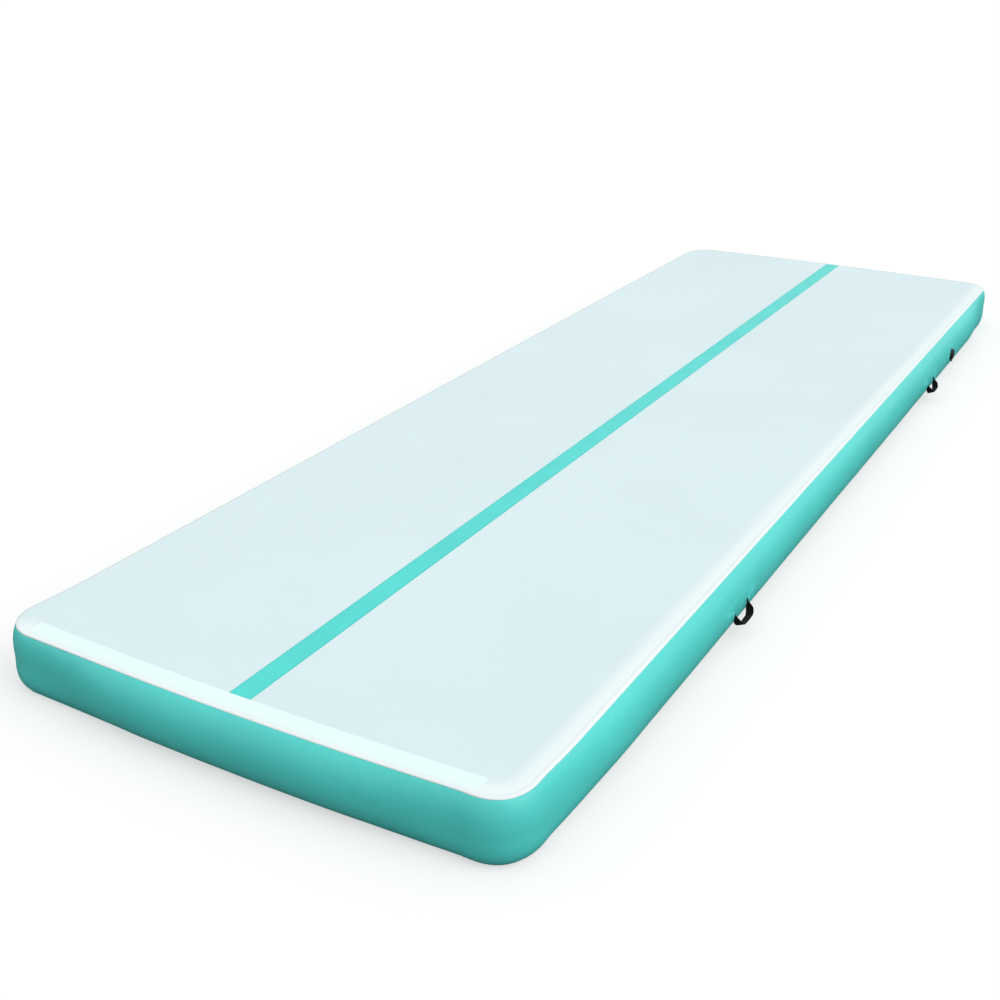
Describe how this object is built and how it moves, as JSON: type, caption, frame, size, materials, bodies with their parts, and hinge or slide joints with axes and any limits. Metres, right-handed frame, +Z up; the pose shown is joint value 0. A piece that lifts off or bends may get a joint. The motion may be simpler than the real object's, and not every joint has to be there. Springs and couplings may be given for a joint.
{
  "type": "inflatable air track mat",
  "caption": "Long flat inflatable tumbling mat with bulged side walls, centre stripe, webbing carry loops on both long sides and a capped inflation valve.",
  "frame": {"origin": "middle of the mat's footprint, on the floor", "axes": "+Y along the mat, +X to the long side that carries the valve, +Z up"},
  "size_m": [2.0728, 5.9992, 0.22],
  "materials": {
    "top_skin": "satin, coated fabric, very pale blue-grey white",
    "bottom_skin": "satin, coated fabric, mint teal",
    "wall_skin": "satin, coated fabric, mint teal",
    "liner_skin": "matte, coated fabric, grey",
    "white_tape": "satin, coated tape, white",
    "teal_tape": "satin, coated tape, mint teal",
    "end_tape": "satin, coated tape, bright cool white",
    "stripe": "satin, coated tape, mint teal",
    "yarn": "polyester yarn, off-white",
    "patch": "satin, coated fabric, mint teal",
    "webbing": "woven polyester webbing, black",
    "valve_plastic": "moulded plastic, black",
    "stem_plastic": "moulded plastic, grey",
    "valve_rubber": "soft seal, black",
    "spring_steel": "drawn wire"
  },
  "bodies": {
    "mat": {"top_sheet": "top_skin", "bottom_sheet": "bottom_skin", "drop_stitch_yarns": "yarn", "outer_wall_right": "wall_skin", "inner_wall_right": "liner_skin", "outer_wall_left": "wall_skin", "inner_wall_left": "liner_skin", "outer_wall_near_end": "wall_skin", "inner_wall_near_end": "liner_skin", "outer_wall_far_end": "wall_skin", "inner_wall_far_end": "liner_skin", "top_seam_tape": "white_tape", "bottom_seam_tape": "teal_tape", "wall_joint_tapes": "teal_tape", "centre_stripe": "stripe", "end_tape": "end_tape", "handle_base_patch_right_near": "patch", "handle_webbing_tails_right_near": "webbing", "handle_cover_patches_right_near": "patch", "handle_base_patch_right_far": "patch", "handle_webbing_tails_right_far": "webbing", "handle_cover_patches_right_far": "patch", "handle_base_patch_left_near": "patch", "handle_webbing_tails_left_near": "webbing", "handle_cover_patches_left_near": "patch", "handle_base_patch_left_far": "patch", "handle_webbing_tails_left_far": "webbing", "handle_cover_patches_left_far": "patch", "valve_reinforcing_patch": "patch", "valve_outer_gasket": "valve_rubber", "valve_inner_gasket": "valve_rubber", "valve_body": "valve_plastic", "valve_nut": "valve_plastic", "valve_spring": "spring_steel"},
    "loop_right_near": {"handle_loop_right_near": "webbing"},
    "loop_right_far": {"handle_loop_right_far": "webbing"},
    "loop_left_near": {"handle_loop_left_near": "webbing"},
    "loop_left_far": {"handle_loop_left_far": "webbing"},
    "valve_plunger": {"valve_spring_washer": "spring_steel"},
    "valve_poppet": {"valve_stem": "stem_plastic", "valve_poppet_seal": "valve_rubber"},
    "cap_leash": {"valve_leash": "valve_rubber"},
    "cap": {"valve_cap": "valve_plastic", "valve_cap_seal": "valve_rubber"}
  },
  "joints": [
    {"name": "handle_swing_right_near", "type": "hinge", "parent": "mat", "child": "loop_right_near", "pos_m": [1.0033, -1.418, 0.098], "axis": [0, -1, 0], "range_deg": [-4, 134]},
    {"name": "handle_swing_right_far", "type": "hinge", "parent": "mat", "child": "loop_right_far", "pos_m": [1.0033, 1.325, 0.098], "axis": [0, -1, 0], "range_deg": [-4, 134]},
    {"name": "handle_swing_left_near", "type": "hinge", "parent": "mat", "child": "loop_left_near", "pos_m": [-1.0033, -1.418, 0.098], "axis": [0, 1, 0], "range_deg": [-4, 134]},
    {"name": "handle_swing_left_far", "type": "hinge", "parent": "mat", "child": "loop_left_far", "pos_m": [-1.0033, 1.325, 0.098], "axis": [0, 1, 0], "range_deg": [-4, 134]},
    {"name": "valve_push", "type": "slide", "parent": "mat", "child": "valve_plunger", "axis": [-1, 0, 0], "range_m": [0, 0.005], "stiffness_N_per_m": 600, "springref_m": -0.006, "deforming": ["valve_spring"]},
    {"name": "valve_lock_turn", "type": "hinge", "parent": "valve_plunger", "child": "valve_poppet", "pos_m": [1, 1.79, 0.11], "axis": [1, 0, 0], "range_deg": [0, 90]},
    {"name": "cap_flip", "type": "hinge", "parent": "mat", "child": "cap_leash", "pos_m": [1.0037, 1.79, 0.0745], "axis": [0, 1, 0], "range_deg": [0, 150]},
    {"name": "cap_turn", "type": "hinge", "parent": "cap_leash", "child": "cap", "pos_m": [1.008, 1.79, 0.11], "axis": [1, 0, 0], "range_deg": [0, 180]}
  ]
}
